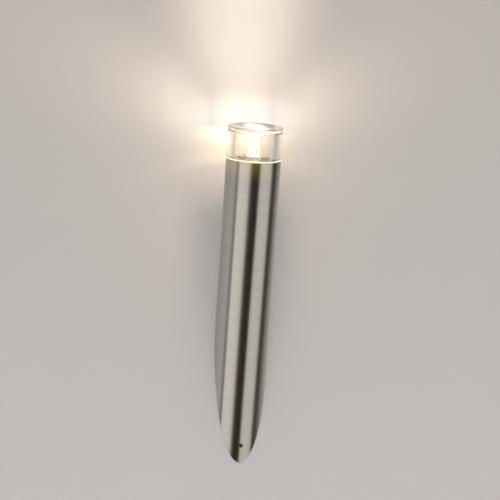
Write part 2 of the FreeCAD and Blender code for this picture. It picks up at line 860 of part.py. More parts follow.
def makeTerminalBlock():
    """Three pole block: a square bore and two screw wells for each pole, and two
    fixing holes between the poles."""
    body = newBody("terminal_block")
    half = "Dims.block_height / 2"
    foot = newSketch(body, "block_outline", "XY_Plane")
    drawBox(foot, "Dims.block_width / 2", "-" + half, half)
    pad(body, "block", foot, "Dims.block_depth - Dims.block_step")
    towers = newSketch(body, "tower_outline", "XY_Plane")
    for pole in poles:
        low = "Dims.tower_inset - " + half
        high = half + " - Dims.tower_inset"
        drawBox(towers, "Dims.tower_half_width", low, high, pole)
    pad(body, "pole_towers", towers, "Dims.block_depth")
    bore = newSketch(body, "sleeve_bores", "XZ_Plane")
    middle = "Dims.pole_out - Dims.bracket_thick"
    for pole in poles:
        low = middle + " - Dims.pole_half_bore"
        high = middle + " + Dims.pole_half_bore"
        drawBox(bore, "Dims.pole_half_bore", low, high, pole)
    pocket(body, "sleeve_boring", bore, middle=True)
    wells = newSketch(body, "screw_wells", "XY_Plane", lift="Dims.block_depth")
    for pole in poles:
        for end in ("", "-"):
            low = end + "Dims.clamp_screw_reach - Dims.clamp_well_half_width"
            high = end + "Dims.clamp_screw_reach + Dims.clamp_well_half_width"
            drawBox(wells, "Dims.clamp_well_half_width", low, high, pole)
    pocket(body, "screw_wells_cut", wells, "Dims.block_depth - (%s)" % middle)
    fixing = newSketch(body, "fixing_holes", "XY_Plane")
    for side in ("", "-"):
        drawSmallRound(fixing, "Dims.block_screw_hole", across=side + "Dims.pole_pitch / 2")
    pocket(body, "fixing_drilling", fixing, reverse=True)
    placeOnWall(body, out="Dims.bracket_thick", height="-Dims.block_centre")


def makeTerminalSleeves():
    """Square brass sleeves in a row, each with two tapped holes towards the room."""
    body = newBody("terminal_sleeves")
    bar = newSketch(body, "sleeve_section", "XZ_Plane")
    for pole in poles:
        for half in ("Dims.sleeve_half_width", "Dims.sleeve_half_bore"):
            drawBox(bar, half, "-" + half, half, pole)
    pad(body, "sleeves", bar, "Dims.sleeve_length", middle=True)
    taps = newSketch(body, "clamp_taps", "XY_Plane")
    radius = "(Dims.clamp_screw_radius + Dims.clamp_screw_play)"
    for pole in poles:
        for end in ("", "-"):
            drawSmallRound(taps, radius, across=pole, up=end + "Dims.clamp_screw_reach")
    pocket(body, "clamp_tapping", taps, reverse=True)
    placeOnWall(body, out="Dims.pole_out", height="-Dims.block_centre")


def makeTerminalScrews():
    """Two clamp screws for each pole, driven from the room side."""
    body = newBody("terminal_screws")
    start = "Dims.wire_radius + Dims.clamp_screw_play"
    stem = newSketch(body, "clamp_screw_outline", "XY_Plane", lift=start)
    for pole in poles:
        for end in ("", "-"):
            up = end + "Dims.clamp_screw_reach"
            drawSmallRound(stem, "Dims.clamp_screw_radius", across=pole, up=up)
    pad(body, "clamp_screws", stem, "Dims.clamp_screw_length")
    placeOnWall(body, out="Dims.pole_out", height="-Dims.block_centre")


def makeBlockScrews():
    """Two screws hold the block on the bracket; their ends sit flush in its holes."""
    body = newBody("terminal_block_screws")
    stems = newSketch(body, "block_screw_stems", "XY_Plane", lift="Dims.block_screw_start")
    for side in ("", "-"):
        drawSmallRound(stems, "Dims.block_screw_radius", across=side + "Dims.pole_pitch / 2")
    length = "Dims.block_depth - Dims.block_step + Dims.bracket_thick"
    pad(body, "stems", stems, length)
    placeOnWall(body, height="-Dims.block_centre")


def makeEarthStud():
    """Stud welded on the bracket; the lug sits on its flared foot."""
    body = newBody("earth_stud")
    foot = newSketch(body, "stud_foot", "XY_Plane")
    drawSmallRound(foot, "Dims.stud_flare")
    pad(body, "flare", foot, "Dims.stud_flare_height")
    stem = newSketch(body, "stud_stem", "XY_Plane")
    drawSmallRound(stem, "Dims.stud_radius")
    pad(body, "stem", stem, "Dims.stud_length")
    placeOnWall(body, out="Dims.bracket_thick", height="-Dims.earth_height")


def makeEarthLug():
    """Ring tongue lug on the stud: a flat ring and a crimped barrel pointing up."""
    body = newBody("earth_lug")
    ring = newSketch(body, "lug_ring", "XY_Plane")
    drawSmallRound(ring, "Dims.lug_radius")
    drawSmallRound(ring, "(Dims.stud_radius + Dims.thread_play)")
    pad(body, "lug_tongue", ring, "Dims.lug_thick")
    neck = newSketch(body, "lug_neck", "XY_Plane")
    low = "Dims.lug_radius - Dims.lug_thick"
    drawBox(neck, "Dims.lug_neck_half_width", low, "Dims.lug_barrel_start + Dims.lug_thick")
    pad(body, "lug_bridge", neck, "Dims.lug_thick")
    barrel = newSketch(body, "lug_barrel", "XZ_Plane", lift="-Dims.lug_barrel_start")
    for radius in ("Dims.lug_barrel_radius", "(Dims.wire_radius + Dims.thread_play)"):
        drawSmallRound(barrel, radius, up="Dims.lug_barrel_radius")
    pad(body, "lug_crimp", barrel, "Dims.lug_barrel_length", reverse=True)
    seat = "Dims.bracket_thick + Dims.stud_flare_height"
    placeOnWall(body, out=seat, height="-Dims.earth_height")


def makeEarthWasher():
    body = newBody("earth_washer")
    ring = newSketch(body, "washer_ring", "XY_Plane")
    drawSmallRound(ring, "Dims.lug_radius")
    drawSmallRound(ring, "(Dims.stud_radius + Dims.thread_play)")
    pad(body, "washer", ring, "Dims.washer_thick")
    seat = "Dims.bracket_thick + Dims.stud_flare_height + Dims.lug_thick"
    placeOnWall(body, out=seat, height="-Dims.earth_height")


def makeEarthNut():
    body = newBody("earth_nut")
    outline = newSketch(body, "nut_outline", "XY_Plane")
    drawPolygon(outline, "Dims.nut_flats / cos(30 deg)", 6)
    drawSmallRound(outline, "(Dims.stud_radius + Dims.thread_play)")
    pad(body, "nut", outline, "Dims.nut_height")
    seat = "Dims.bracket_thick + Dims.stud_flare_height + Dims.lug_thick + Dims.washer_thick"
    placeOnWall(body, out=seat, height="-Dims.earth_height")


def inHead(across, height):
    """A point of the head's middle plane, given in the light's frame."""
    lean = FreeCAD.Rotation(FreeCAD.Vector(1, 0, 0), measure("Dims.lean_angle"))
    return lean.multVec(FreeCAD.Vector(across, 0, measure("Dims.tube_top") + height))


def makeLeads():
    """Live and neutral leads: up from the terminal block, through the sleeving and
    into the holes under the lampholder. The neutral one passes over the grommet."""
    out = -measure("Dims.pole_out")
    pitch = measure("Dims.pole_pitch")
    grip = measure("Dims.wire_grip")
    clampEnd = measure("Dims.sleeve_length / 2 - Dims.block_centre") - grip
    apart = measure("Dims.wire_radius + Dims.wire_play")
    reach = measure("Dims.pin_reach")
    bend = measure("Dims.wire_bend")
    sleevingTop = -measure("Dims.sleeving_drop")
    sleevingLow = sleevingTop - measure("Dims.sleeving_length")
    holderEnd = grip - measure("Dims.holder_depth")
    routes = (
        ("live_wire", -1, [(-pitch, out, clampEnd), (-pitch, out, 26), (-5, -21, 88)]),
        ("neutral_wire", 1, [(0, out, clampEnd), (0, out, 5), (4, -16, 26), (3, -22, 88)]),
    )
    for label, side, points in routes:
        points.append(inHead(side * apart, sleevingLow - bend))
        points.append(inHead(side * apart, sleevingTop))
        points.append(inHead(side * reach, sleevingTop + bend))
        points.append(inHead(side * reach, holderEnd))
        addSolid(label, wireAlong(points, "Dims.wire_radius"))


def makeEarthWire():
    """From the block's third pole down into the lug's barrel."""
    out = -measure("Dims.pole_out")
    pitch = measure("Dims.pole_pitch")
    grip = measure("Dims.wire_grip")
    clampEnd = grip - measure("Dims.sleeve_length / 2 + Dims.block_centre")
    bend = measure("Dims.wire_bend")
    lugOut = -measure("Dims.bracket_thick + Dims.stud_flare_height + Dims.lug_barrel_radius")
    barrelLength = measure("Dims.lug_barrel_length")
    barrelTop = measure("Dims.lug_barrel_start - Dims.earth_height") + barrelLength
    points = [
        (pitch, out, clampEnd),
        (pitch, out, clampEnd - bend),
        (0, lugOut, barrelTop + grip),
        (0, lugOut, barrelTop - barrelLength / 2),
    ]
    addSolid("earth_wire", wireAlong(points, "Dims.wire_radius"))


def makeLeadSleeving():
    """Heat resistant sleeving round both leads below the lampholder."""
    body = newBody("lead_sleeving")
    ring = newSketch(body, "sleeving_ring", "XY_Plane", lift="-Dims.sleeving_drop")
    drawSmallRound(ring, "Dims.sleeving_bore")
    drawSmallRound(ring, "(Dims.sleeving_bore + Dims.sleeving_wall)")
    pad(body, "sleeving", ring, "Dims.sleeving_length", reverse=True)
    placeInHead(body)


makeTubeHousing()
makeTopCollar()
makeLensGasket()
makeReflector()
makeLens()
makeLensRing()
makeLensOring()
makeLampholder()
makeLampholderContacts()
makeLampholderScrews()
makeCapsuleGlass()
makeFilament()
makeFilamentSupports()
makeBulbPins()
makeWallBracket()
makeLockScrew()
makeCableGrommet()
makeTerminalBlock()
makeTerminalSleeves()
makeTerminalScrews()
makeBlockScrews()
makeEarthStud()
makeEarthLug()
makeEarthWasher()
makeEarthNut()
makeLeads()
makeEarthWire()
makeLeadSleeving()

doc.recompute()
for item in doc.Objects:
    if "Invalid" in item.State or "Error" in item.State:
        raise RuntimeError("%s failed: %s" % (item.Label, item.State))

os.makedirs("parts", exist_ok=True)
for item in subParts:
    shape = item.Shape
    if shape.isNull() or not shape.isValid():
        raise RuntimeError(item.Label + " has no valid shape")
    shape.exportStep("parts/%s.step" % item.Label)
    print("%-24s %d solid(s) %9.1f mm3" % (item.Label, len(shape.Solids), shape.Volume))
print("%d sub-parts" % len(subParts))
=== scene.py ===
from math import cos, exp, pi, radians, sin

import bmesh
import bpy
from mathutils import Matrix, Vector


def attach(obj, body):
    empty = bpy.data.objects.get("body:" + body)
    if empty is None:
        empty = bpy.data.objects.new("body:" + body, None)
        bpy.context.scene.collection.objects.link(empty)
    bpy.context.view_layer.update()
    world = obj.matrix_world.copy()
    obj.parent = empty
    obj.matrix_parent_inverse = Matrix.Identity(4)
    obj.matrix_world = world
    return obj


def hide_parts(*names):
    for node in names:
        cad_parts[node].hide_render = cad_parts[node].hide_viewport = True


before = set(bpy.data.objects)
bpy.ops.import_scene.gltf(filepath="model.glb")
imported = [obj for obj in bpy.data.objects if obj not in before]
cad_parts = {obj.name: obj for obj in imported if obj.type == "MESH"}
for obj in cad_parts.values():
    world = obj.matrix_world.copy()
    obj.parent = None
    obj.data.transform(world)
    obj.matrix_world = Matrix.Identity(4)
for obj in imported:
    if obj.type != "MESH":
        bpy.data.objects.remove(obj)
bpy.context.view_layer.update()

mm = 0.001

# The light leans out from the wall, which is the plane y = 0. In its own upright
# place z runs up along the tube, and the head's z counts from the tube's top.
stance = {"lean": 13.5, "tubeTop": 212.5}
tubePlace = Matrix.Rotation(radians(stance["lean"]), 4, "X")
headPlace = tubePlace @ Matrix.Translation((0, 0, stance["tubeTop"] * mm))
tubeAxis = tubePlace.to_3x3() @ Vector((0, 0, 1))


# Shader helpers: a node with its sockets filled, arithmetic, a colour ramp, a group.

def put(tree, kind, settings=None, **wires):
    node = tree.nodes.new("ShaderNode" + kind)
    for key, value in (settings or {}).items():
        setattr(node, key, value)
    for key, value in wires.items():
        numbered = key.startswith("in") and key[2:].isdigit()
        socket = node.inputs[int(key[2:]) if numbered else key.replace("_", " ")]
        if isinstance(value, bpy.types.NodeSocket):
            tree.links.new(value, socket)
        else:
            socket.default_value = value
    return node


def reckon(tree, operation, first, second=0.0):
    return put(tree, "Math", {"operation": operation}, in0=first, in1=second).outputs[0]


def product(tree, *factors):
    total = factors[0]
    for factor in factors[1:]:
        total = reckon(tree, "MULTIPLY", total, factor)
    return total


def stretch(tree, vector, factors):
    node = put(tree, "VectorMath", {"operation": "MULTIPLY"}, in0=vector, in1=factors)
    return node.outputs[0]


def noise(tree, vector, scale, detail=3.0, roughness=0.5):
    return put(tree, "TexNoise", None, Vector=vector, Scale=scale, Detail=detail,
               Roughness=roughness).outputs["Fac"]


def spread(tree, value, low, high, toLow, toHigh):
    return put(tree, "MapRange", None, Value=value, From_Min=low, From_Max=high,
               To_Min=toLow, To_Max=toHigh).outputs["Result"]


def spanned(tree, value, span, toLow, toHigh):
    # a straight step over a span in millimetres
    return spread(tree, value, span[0] * mm, span[1] * mm, toLow, toHigh)


def eased(tree, value, span, toLow, toHigh):
    # a smooth step over a span
    return put(tree, "MapRange", {"interpolation_type": "SMOOTHSTEP"}, Value=value,
               From_Min=span[0], From_Max=span[1], To_Min=toLow,
               To_Max=toHigh).outputs["Result"]


def ramp(tree, value, stops):
    node = put(tree, "ValToRGB", None, Fac=value)
    elements = node.color_ramp.elements
    while len(elements) < len(stops):
        elements.new(0.999)  # its true place follows below
    for element, (position, colour) in zip(elements, stops):
        element.position = position
        element.color = (*colour, 1)
    return node.outputs["Color"]


def mixed(tree, share, first, second):
    node = put(tree, "Mix", {"data_type": "RGBA"}, Factor=share)
    for socket, value in ((node.inputs[6], first), (node.inputs[7], second)):
        if isinstance(value, bpy.types.NodeSocket):
            tree.links.new(value, socket)
        else:
            socket.default_value = (*value, 1)
    return node.outputs[2]


def newGroup(name, inputs, outputs):
    group = bpy.data.node_groups.new(name, "ShaderNodeTree")
    for label, kind, default in inputs:
        socket = group.interface.new_socket(label, in_out="INPUT",
                                            socket_type="NodeSocket" + kind)
        if default is not None:
            socket.default_value = default
    for label in outputs:
        group.interface.new_socket(label, in_out="OUTPUT", socket_type="NodeSocketFloat")
    made = group.nodes.new("NodeGroupOutput").inputs
    return group, group.nodes.new("NodeGroupInput").outputs, made


# Three effects shared by the materials.

marks = {"grainCoarse": (1.5, 1.5, 0.12), "ringsCoarse": 0.15}
wear = {"smudgeSpan": (0.35, 0.7), "dustSpan": (0.62, 0.75), "dustFiner": 24.0,
        "dustColour": (0.55, 0.52, 0.47), "toneSpan": (0.35, 0.65)}


def makeGrain():  # long scratches across z: Drift sets their length, Fineness their pitch
    group, given, made = newGroup("grain", [
        ("Vector", "Vector", None), ("Fineness", "Float", 2400.0),
        ("Drift", "Float", 14.0)], ["Height", "Tone"])
    parts = put(group, "SeparateXYZ", None, Vector=given["Vector"]).outputs
    fine = put(group, "CombineXYZ", None,
               X=reckon(group, "MULTIPLY", parts["X"], given["Drift"]),
               Y=reckon(group, "MULTIPLY", parts["Y"], given["Drift"]),
               Z=reckon(group, "MULTIPLY", parts["Z"], given["Fineness"])).outputs[0]
    coarse = stretch(group, fine, marks["grainCoarse"])
    group.links.new(noise(group, fine, 1.0, 2.0, 0.6), made["Height"])
    group.links.new(noise(group, coarse, 1.0, 3.0, 0.6), made["Tone"])
    return group


def makeRings():  # tool marks of turning: rings round z, on faces and on walls
    group, given, made = newGroup("rings", [
        ("Vector", "Vector", None), ("Fineness", "Float", 2200.0)], ["Height", "Tone"])
    parts = put(group, "SeparateXYZ", None, Vector=given["Vector"]).outputs
    across = reckon(group, "SQRT", reckon(group, "ADD",
                                          reckon(group, "MULTIPLY", parts["X"], parts["X"]),
                                          reckon(group, "MULTIPLY", parts["Y"], parts["Y"])))
    place = put(group, "CombineXYZ", None,
                X=reckon(group, "MULTIPLY", across, given["Fineness"]), Y=0.0,
                Z=reckon(group, "MULTIPLY", parts["Z"], given["Fineness"])).outputs[0]
    group.links.new(noise(group, place, 1.0, 2.0, 0.5), made["Height"])
    group.links.new(noise(group, place, marks["ringsCoarse"], 2.0, 0.5), made["Tone"])
    return group


def makeHandling():  # smudges from hands and a little dust
    group, given, made = newGroup("handling", [
        ("Vector", "Vector", None), ("Size", "Float", 90.0)], ["Smudge", "Dust"])
    smudge = put(group, "TexNoise", None, Vector=given["Vector"], Scale=given["Size"],
                 Detail=4.0, Roughness=0.6, Distortion=0.6).outputs["Fac"]
    dust = put(group, "TexNoise", None, Vector=given["Vector"],
               Scale=reckon(group, "MULTIPLY", given["Size"], wear["dustFiner"]),
               Detail=2.0, Roughness=0.7).outputs["Fac"]
    group.links.new(spread(group, smudge, *wear["smudgeSpan"], 0.0, 1.0), made["Smudge"])
    group.links.new(spread(group, dust, *wear["dustSpan"], 0.0, 1.0), made["Dust"])
    return group


grain, rings, handling = makeGrain(), makeRings(), makeHandling()


def useGroup(tree, group, **wires):
    node = tree.nodes.new("ShaderNodeGroup")
    node.node_tree = group
    for key, value in wires.items():
        if isinstance(value, bpy.types.NodeSocket):
            tree.links.new(value, node.inputs[key])
        else:
            node.inputs[key].default_value = value
    return node.outputs


def ownPlace(tree, turned=0.0, centre=(0, 0, 0)):
    # where a point lies in a piece's own upright place, turned back by its lean
    spot = put(tree, "TexCoord").outputs["Object"]
    moved = put(tree, "VectorMath", {"operation": "SUBTRACT"}, in0=spot,
                in1=tuple(centre)).outputs[0]
    node = put(tree, "Mapping", None, Vector=moved)
    node.inputs["Rotation"].default_value = (radians(-turned), 0, 0)
    return node.outputs[0]


# What a finish has where it says nothing else. Its fineness counts marks to the metre,
# and its depth is in millimetres.
plainLook = {"turned": 0.0, "smudgeSize": 90.0, "marks": "none", "axis": "Z", "drift": 14.0,
             "fineness": 1500.0, "mottle": 0.08, "dust": 0.15, "roughSpan": 0.08, "relief": 0.2,
             "depth": 0.06, "metallic": 0.0, "toneShare": 0.08}


def toolMarks(tree, spot, look):
    # the height and the tone that the tool left: grain, rings or a fine even texture
    if look["marks"] == "grain":
        if look["axis"] == "Y":
            spot = put(tree, "VectorRotate", {"rotation_type": "X_AXIS"}, Vector=spot,
                       Angle=pi / 2).outputs[0]
        made = useGroup(tree, grain, Vector=spot, Fineness=look["fineness"], Drift=look["drift"])
        return made["Height"], made["Tone"]
    if look["marks"] == "rings":
        made = useGroup(tree, rings, Vector=spot, Fineness=look["fineness"])
        return made["Height"], made["Tone"]
    height = noise(tree, spot, look["fineness"], 4.0, 0.6)
    tone = noise(tree, spot, look["fineness"] * look["toneShare"], 3.0, 0.5)
    return height, tone


def rimSheen(tree, look):
    # a painted warm glow: the lens's light on the metal just below it
    place = put(tree, "SeparateXYZ", None,
                Vector=ownPlace(tree, stance["lean"], headPlace.translation)).outputs
    shine = product(tree, eased(tree, place["Z"], look["rimGlowSpan"], 0.0, 1.0),
                    eased(tree, place["X"], look["rimGlowAcross"], 1.0, 0.0))
    return mixed(tree, shine, (0, 0, 0), look["rimGlow"])


def finish(name, ownLook):
    look = {**plainLook, **ownLook}
    material = bpy.data.materials.new(name)
    material.use_nodes = True
    tree = material.node_tree
    shader = tree.nodes["Principled BSDF"]
    spot = ownPlace(tree, look["turned"])
    worn = useGroup(tree, handling, Vector=spot, Size=look["smudgeSize"])
    height, tone = toolMarks(tree, spot, look)
    dark = [channel * (1 - look["mottle"]) for channel in look["colour"]]
    body = mixed(tree, spread(tree, tone, *wear["toneSpan"], 0.0, 1.0), dark, look["colour"])
    if "stripe" in look:  # a second colour that winds round the insulation
        turn = put(tree, "TexWave", {"bands_direction": "DIAGONAL"}, Vector=spot,
                   Scale=look["stripeScale"]).outputs["Fac"]
        body = mixed(tree, spread(tree, turn, *look["stripeSpan"], 0.0, 1.0), body,
                     look["stripe"])
    dusty = mixed(tree, reckon(tree, "MULTIPLY", worn["Dust"], look["dust"]), body,
                  wear["dustColour"])
    tree.links.new(dusty, shader.inputs["Base Color"])
    rough = spread(tree, worn["Smudge"], 0.0, 1.0, look["rough"],
                   look["rough"] + look["roughSpan"])
    tree.links.new(rough, shader.inputs["Roughness"])
    bump = put(tree, "Bump", None, Height=height, Strength=look["relief"],
               Distance=look["depth"] * mm)
    tree.links.new(bump.outputs["Normal"], shader.inputs["Normal"])
    shader.inputs["Metallic"].default_value = look["metallic"]
    if "rimGlow" in look:
        tree.links.new(rimSheen(tree, look), shader.inputs["Emission Color"])
        shader.inputs["Emission Strength"].default_value = 1.0
    if "glow" in look:
        shader.inputs["Emission Color"].default_value = (*look["glow"], 1)
        shader.inputs["Emission Strength"].default_value = look["glowStrength"]
    return material


# The tube's and the lens's own spans, below, are in metres from the middle of the tube's top.
steel = {"metallic": 1.0, "dust": 0.06}
leaning = {"turned": stance["lean"]}
finishes = {
    "tube_steel": dict(steel | leaning, colour=(0.62, 0.595, 0.565), rough=0.13, roughSpan=0.04,
                       marks="grain", fineness=1500.0, drift=10.0, mottle=0.05, relief=0.25,
                       depth=0.04, dust=0.0, rimGlow=(0.10, 0.058, 0.004),
                       rimGlowSpan=(-0.022, 0.0), rimGlowAcross=(0.006, 0.015)),
    "collar_aluminium": dict(steel | leaning, colour=(0.78, 0.78, 0.79), rough=0.3,
                             marks="rings", fineness=2600.0),
    # the dish's warm gold colour is painted lamplight on the aluminium
    "dish_aluminium": dict(steel | leaning, colour=(0.93, 0.84, 0.68), rough=0.16,
                           marks="rings", fineness=1800.0, relief=0.12),
    "ring_aluminium": dict(steel | leaning, colour=(0.70, 0.70, 0.71), rough=0.28,
                           marks="rings", fineness=2600.0),
    "black_rubber": dict(colour=(0.018, 0.018, 0.018), rough=0.45, mottle=0.3, relief=0.1),
    "holder_ceramic": dict(colour=(0.84, 0.81, 0.74), rough=0.5, mottle=0.06, relief=0.3,
                           fineness=2200.0),
    "contact_metal": dict(steel, colour=(0.66, 0.6, 0.46), rough=0.3, relief=0.1),
    "screw_steel": dict(steel, colour=(0.66, 0.68, 0.68), rough=0.3, roughSpan=0.2, mottle=0.2),
    "filament_support": dict(steel, colour=(0.5, 0.48, 0.45), rough=0.4),
    "pin_metal": dict(steel, colour=(0.68, 0.67, 0.65), rough=0.3),
    "bracket_steel": dict(steel, colour=(0.54, 0.54, 0.53), rough=0.34, roughSpan=0.12,
                          marks="grain", axis="Y", fineness=900.0, drift=25.0, mottle=0.16),
    "lock_screw_steel": dict(steel, colour=(0.16, 0.16, 0.17), rough=0.38, mottle=0.3),
    "grommet_rubber": dict(colour=(0.03, 0.03, 0.032), rough=0.6, mottle=0.3, relief=0.25),
    "block_nylon": dict(colour=(0.82, 0.81, 0.76), rough=0.42, mottle=0.04, relief=0.15,
                        fineness=2600.0),
    "sleeve_brass": dict(steel, colour=(0.76, 0.58, 0.28), rough=0.25, mottle=0.15),
    "lug_metal": dict(steel, colour=(0.72, 0.72, 0.7), rough=0.35, mottle=0.15),
    "brown_insulation": dict(colour=(0.16, 0.065, 0.03), rough=0.4, relief=0.1),
    "blue_insulation": dict(colour=(0.03, 0.11, 0.38), rough=0.4, relief=0.1),
    "green_yellow_insulation": dict(colour=(0.06, 0.3, 0.07), rough=0.4, relief=0.1,
                                    stripe=(0.72, 0.62, 0.04), stripeScale=160.0,
                                    stripeSpan=(0.62, 0.66)),
    "glass_fibre_sleeving": dict(colour=(0.82, 0.79, 0.7), rough=0.8, marks="grain",
                                 fineness=1300.0, drift=900.0, relief=0.8, depth=0.15),
    "filament_wire": dict(colour=(1.0, 0.72, 0.42), rough=0.5, metallic=1.0,
                          glow=(1.0, 0.78, 0.5), glowStrength=90.0),
}


def shadeRoof(tree, look, tint, glow):
    # the lens's flat top: a painted brown shade on its rim, and a painted shine in its middle
    parts = put(tree, "SeparateXYZ", None,
                Vector=ownPlace(tree, stance["lean"], headPlace.translation)).outputs
    flat = put(tree, "CombineXYZ", None, X=parts["X"], Z=0.0,
               Y=reckon(tree, "MULTIPLY", parts["Y"], look["roofSquash"])).outputs[0]
    across = put(tree, "VectorMath", {"operation": "LENGTH"}, in0=flat).outputs["Value"]
    roof = reckon(tree, "GREATER_THAN", parts["Z"], look["topFrom"])
    rim = product(tree, roof, eased(tree, across, look["rimSpan"], 0.0, 1.0))
    middle = product(tree, roof, eased(tree, across, look["middleSpan"], 1.0, 0.0))
    return mixed(tree, rim, tint, look["topShade"]), mixed(tree, middle, glow, look["topShine"])


def clearFinish(name, look):
    material = bpy.data.materials.new(name)
    material.use_nodes = True
    tree = material.node_tree
    shader = tree.nodes["Principled BSDF"]
    spot = ownPlace(tree, stance["lean"])
    worn = useGroup(tree, handling, Vector=spot, Size=look["smudgeSize"])
    tint = mixed(tree, reckon(tree, "MULTIPLY", worn["Smudge"], look["haze"]),
                 look["colour"], look["hazeColour"])
    if "topShade" in look:
        tint, glow = shadeRoof(tree, look, tint, look["glow"])
        tree.links.new(glow, shader.inputs["Emission Color"])
    else:
        shader.inputs["Emission Color"].default_value = (*look["glow"], 1)
    shader.inputs["Emission Strength"].default_value = look["glowStrength"]
    tree.links.new(tint, shader.inputs["Base Color"])
    tree.links.new(spread(tree, worn["Smudge"], 0.0, 1.0, look["rough"], look["roughWorn"]),
                   shader.inputs["Roughness"])
    wave = noise(tree, spot, look["waviness"], 2.0, 0.4)
    bump = put(tree, "Bump", None, Height=wave, Strength=look["relief"],
               Distance=look["depth"] * mm)
    tree.links.new(bump.outputs["Normal"], shader.inputs["Normal"])
    shader.inputs["Transmission Weight"].default_value = look["clear"]
    shader.inputs["IOR"].default_value = look["ior"]
    return material


clearFinishes = {
    # the lens's warm tint is partly its own and partly painted warm light from the lamp
    "lens_glass": {"colour": (0.95, 0.938, 0.905), "hazeColour": (0.93, 0.912, 0.87),
                   "haze": 0.3, "topShade": (0.52, 0.36, 0.23), "topShine": (0.7, 0.68, 0.64),
                   "topFrom": 0.034, "rimSpan": (0.010, 0.017), "middleSpan": (0.005, 0.015),
                   "roofSquash": 0.45, "glow": (0, 0, 0), "glowStrength": 1.0, "rough": 0.0,
                   "roughWorn": 0.0, "smudgeSize": 60.0, "waviness": 70.0, "relief": 0.05,
                   "depth": 0.05, "clear": 1.0, "ior": 1.5},
    "capsule_glass": {"colour": (1.0, 0.99, 0.97), "hazeColour": (1.0, 0.9, 0.75), "haze": 0.4,
                      "glow": (1.0, 0.96, 0.9), "glowStrength": 0.12, "rough": 0.0,
                      "roughWorn": 0.0, "smudgeSize": 150.0, "waviness": 120.0, "relief": 0.05,
                      "depth": 0.05, "clear": 1.0, "ior": 1.2},
    "clear_silicone": {"colour": (0.97, 0.92, 0.82), "hazeColour": (0.85, 0.76, 0.6),
                       "haze": 0.5, "glow": (1.0, 0.85, 0.6), "glowStrength": 0.35,
                       "rough": 0.35, "roughWorn": 0.5, "smudgeSize": 120.0,
                       "waviness": 300.0, "relief": 0.2, "depth": 0.05, "clear": 0.6,
                       "ior": 1.41},
}

materials = {name: finish(name, look) for name, look in finishes.items()}
for name, look in clearFinishes.items():
    materials[name] = clearFinish(name, look)
print("materials ready:", len(materials))


# Modelling helpers.

def turned(outline, steps, ringed=False):
    # an outline of (radius, height) turned once round z; ringed closes the outline itself
    bm = bmesh.new()
    corners = [bm.verts.new((radius * mm, 0, height * mm)) for radius, height in outline]
    pairs = list(zip(corners, corners[1:]))
    if ringed:
        pairs.append((corners[-1], corners[0]))
    edges = [bm.edges.new(pair) for pair in pairs]
    bmesh.ops.spin(bm, geom=corners + edges, cent=(0, 0, 0), axis=(0, 0, 1),
                   angle=2 * pi, steps=steps, use_merge=True)
    bmesh.ops.remove_doubles(bm, verts=bm.verts, dist=1e-7)
    bmesh.ops.recalc_face_normals(bm, faces=bm.faces)
    return bm


def roundSharp(bm, width, segments, limit=40.0, picked=lambda edge: True):
    edges = [edge for edge in bm.edges
             if len(edge.link_faces) == 2 and edge.calc_face_angle() > radians(limit)
             and picked(edge)]
    bmesh.ops.bevel(bm, geom=edges, offset=width * mm, offset_type="OFFSET",
                    segments=segments, profile=0.5, affect="EDGES", material=-1,
                    clamp_overlap=True)


def addPiece(name, bm, place, body, slotName, nodes, sharp=15.0):
    bm.transform(place)
    for face in bm.faces:
        face.smooth = True
    for edge in bm.edges:
        edge.smooth = len(edge.link_faces) == 2 and edge.calc_face_angle() < radians(sharp)
    mesh = bpy.data.meshes.new(name)
    bm.to_mesh(mesh)
    bm.free()
    piece = bpy.data.objects.new(name, mesh)
    bpy.context.collection.objects.link(piece)
    mesh.materials.append(materials[slotName])
    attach(piece, body)
    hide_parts(*nodes)
    return piece


# The tube: a flat sheet with the lock screw's hole, bent round, thickened and cut
# off along the wall.

tube = {"radius": 30.0, "wall": 1.2, "top": stance["tubeTop"], "low": -140.0, "steps": 240,
        "rim": 0.3, "rimSegments": 3, "holeRise": 19.8, "holeRadius": 2.25,
        "holeSteps": 40, "windowCells": 5, "slack": 0.1}


